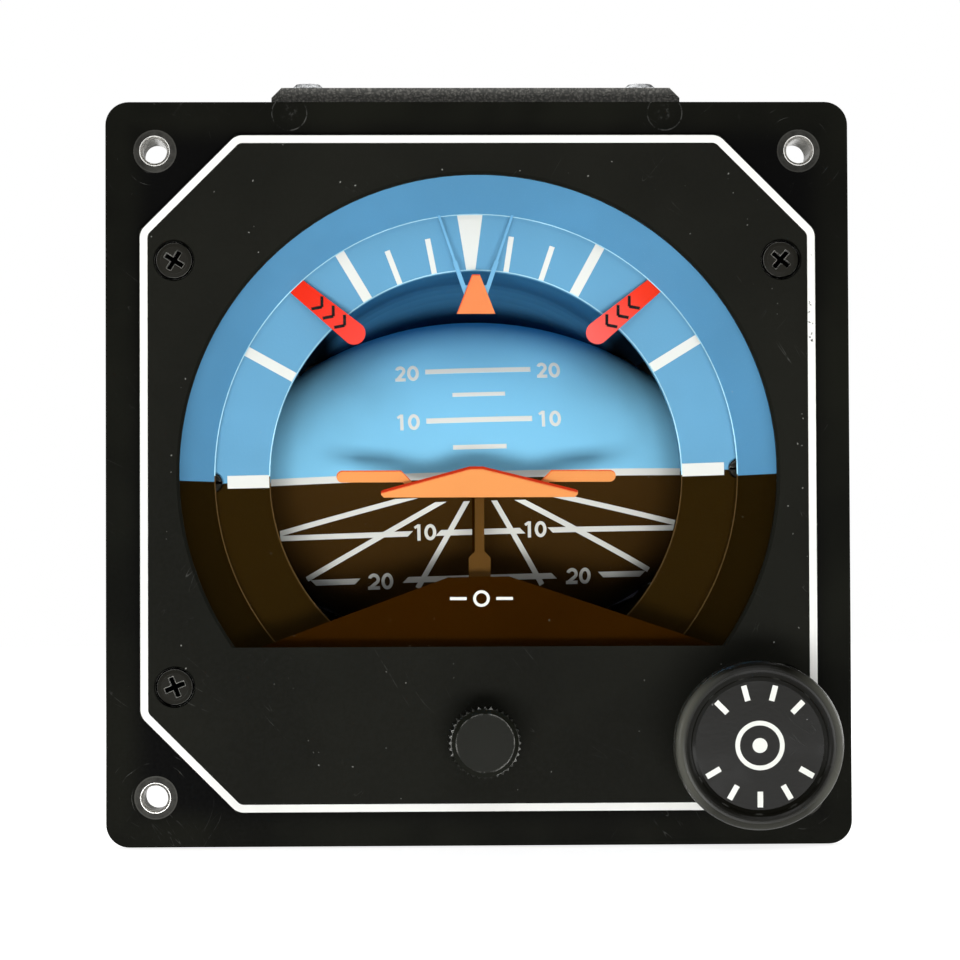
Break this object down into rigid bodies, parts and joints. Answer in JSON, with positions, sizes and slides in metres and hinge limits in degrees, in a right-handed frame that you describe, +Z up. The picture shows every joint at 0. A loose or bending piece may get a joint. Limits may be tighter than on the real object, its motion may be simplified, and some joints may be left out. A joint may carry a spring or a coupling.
{
  "type": "flight director indicator",
  "caption": "Panel gyro horizon with a flight director: octagonal black face, blue and brown horizon drum, bank ring, warning flags, adjusting knob, pull knob and a deep case.",
  "frame": {"origin": "centre of the four mounting holes, on the front face of the flange, which seats against the back of the panel", "axes": "+X to the right as the pilot sees it, +Y into the panel along the case, +Z up"},
  "size_m": [0.1024, 0.2278, 0.1066],
  "materials": {
    "flange_black": "satin black paint, worn at the edges",
    "face_black": "satin black paint with a white painted border line",
    "screw_black": "black oxide, slightly worn cross recess",
    "insert_steel": "bright plated steel",
    "gasket_rubber": "matt black rubber",
    "window_glass": "clear coated glass",
    "surround_paint": "matt paint, sky blue above and earth brown below",
    "ring_paint": "matt paint, sky blue above and earth brown below, white bank marks",
    "drum_paint": "matt paint, sky blue above and earth brown below, white pitch lines",
    "mask_brown": "matt earth brown paint",
    "index_blue": "matt sky blue paint",
    "signal_orange": "fluorescent orange paint",
    "flag_red": "fluorescent red paint",
    "bare_alloy": "machined aluminium",
    "bare_steel": "ground and plated steel",
    "brass": "machined brass",
    "brush_plastic": "moulded phenolic",
    "case_wrinkle": "black wrinkle paint",
    "board_green": "glass fibre board with solder resist",
    "connector_alloy": "plated aluminium shell",
    "knob_black": "black anodised, fine knurling",
    "pull_knob_black": "gloss black moulded plastic with a satin face"
  },
  "bodies": {
    "case": {"bezel_flange": "flange_black", "mounting_inserts": "insert_steel", "face_plate": "face_black", "face_screws": "screw_black", "window_gasket": "gasket_rubber", "window_glass": "window_glass", "dial_surround": "surround_paint", "surround_screws": "bare_steel", "lower_mask": "mask_brown", "bank_index_bracket": "index_blue", "bank_index": "signal_orange", "corner_brackets": "bare_alloy", "flag_motors": "bare_steel", "command_motor": "bare_steel", "slide_guides": "bare_alloy", "adjust_bushing": "brass", "erect_bushing": "brass", "frame_posts": "bare_alloy", "bearing_bulkhead": "bare_alloy", "roll_bearings": "bare_steel", "brush_block": "brush_plastic", "case_shell": "case_wrinkle", "case_screws": "bare_steel", "top_cover": "case_wrinkle", "circuit_board": "board_green", "rear_plate": "case_wrinkle", "rear_connector": "connector_alloy", "connector_pins": "brass", "erect_switch": "brush_plastic", "erect_spring": "bare_steel"},
    "roll_gimbal": {"roll_ring": "ring_paint", "ring_screws": "screw_black", "roll_yoke": "bare_alloy", "idler_pins": "bare_steel", "roll_shaft": "bare_steel", "slip_rings": "brass"},
    "pitch_gimbal": {"gyro_housing": "bare_alloy", "pitch_trunnions": "bare_steel", "pitch_gear": "brass"},
    "rotor": {"gyro_rotor": "brass", "rotor_shaft": "bare_steel"},
    "drum": {"horizon_drum": "drum_paint", "drum_shaft": "bare_steel", "drum_gear": "brass"},
    "front_idler_body": {"front_idler": "brass"},
    "rear_idler_body": {"rear_idler": "brass"},
    "airplane": {"airplane_symbol": "signal_orange", "airplane_post": "mask_brown", "airplane_carriage": "bare_alloy"},
    "adjuster": {"adjust_knob": "knob_black", "adjust_shaft": "bare_steel", "adjust_pinion": "brass"},
    "erector": {"erect_knob": "pull_knob_black", "erect_rod": "bare_steel"},
    "gyro_flag_body": {"gyro_flag": "flag_red"},
    "command_flag_body": {"command_flag": "flag_red"},
    "command_frame": {"command_carriage": "mask_brown"},
    "command_wings": {"command_bars": "signal_orange"},
    "command_drive": {"command_pinion": "brass"}
  },
  "joints": [
    {"name": "bank", "type": "hinge", "parent": "case", "child": "roll_gimbal", "pos_m": [0, 0, 0], "axis": [0, 1, 0], "continuous": true},
    {"name": "gyro_pitch", "type": "hinge", "parent": "roll_gimbal", "child": "pitch_gimbal", "pos_m": [0, 0.1, 0], "axis": [0.9997, 0, 0.0244], "range_deg": [-25, 25]},
    {"name": "rotor_spin", "type": "hinge", "parent": "pitch_gimbal", "child": "rotor", "pos_m": [0, 0.1, 0], "axis": [-0.0244, 0, 0.9997], "continuous": true},
    {"name": "drum_pitch", "type": "hinge", "parent": "roll_gimbal", "child": "drum", "pos_m": [0, 0.04, 0], "axis": [0.9997, 0, 0.0244], "range_deg": [-50, 50]},
    {"name": "rear_idler_turn", "type": "hinge", "parent": "roll_gimbal", "child": "rear_idler_body", "pos_m": [0, 0.075, 0], "axis": [0.9997, 0, 0.0244], "range_deg": [-44.5, 44.5]},
    {"name": "front_idler_turn", "type": "hinge", "parent": "roll_gimbal", "child": "front_idler_body", "pos_m": [0, 0.057, 0], "axis": [0.9997, 0, 0.0244], "range_deg": [-44.5, 44.5]},
    {"name": "adjust_turn", "type": "hinge", "parent": "case", "child": "adjuster", "pos_m": [0.0004, 0, -0.0368], "axis": [0, 1, 0], "range_deg": [-66.9, 66.9]},
    {"name": "airplane_slide", "type": "slide", "parent": "case", "child": "airplane", "axis": [0, 0, 1], "range_m": [-0.0035, 0.0035]},
    {"name": "erect_pull", "type": "slide", "parent": "case", "child": "erector", "axis": [0, -1, 0], "range_m": [0, 0.006], "stiffness_N_per_m": 300, "springref_m": -0.004, "deforming": ["erect_spring"]},
    {"name": "gyro_flag_swing", "type": "hinge", "parent": "case", "child": "gyro_flag_body", "pos_m": [-0.03323, 0, 0.03323], "axis": [0, -1, 0], "range_deg": [0, 56]},
    {"name": "command_flag_swing", "type": "hinge", "parent": "case", "child": "command_flag_body", "pos_m": [0.03323, 0, 0.03323], "axis": [0, 1, 0], "range_deg": [0, 56]},
    {"name": "command_slide", "type": "slide", "parent": "case", "child": "command_frame", "axis": [0, 0, 1], "range_m": [-0.0045, 0.0045]},
    {"name": "command_drive_turn", "type": "hinge", "parent": "case", "child": "command_drive", "pos_m": [-0.0295, 0, -0.035], "axis": [0, 1, 0], "range_deg": [-87, 87]},
    {"name": "command_roll", "type": "hinge", "parent": "command_frame", "child": "command_wings", "pos_m": [-0.0001, 0, -0.0012], "axis": [0, 1, 0], "range_deg": [-20, 20]}
  ],
  "couplings": [
    {"joint": "drum_pitch", "follows": "gyro_pitch", "ratio": -2},
    {"joint": "rear_idler_turn", "follows": "gyro_pitch", "ratio": -1.7778},
    {"joint": "front_idler_turn", "follows": "gyro_pitch", "ratio": 1.7778},
    {"joint": "adjust_turn", "follows": "airplane_slide", "rad_per_m": -333.33},
    {"joint": "command_drive_turn", "follows": "command_slide", "rad_per_m": -333.33}
  ]
}
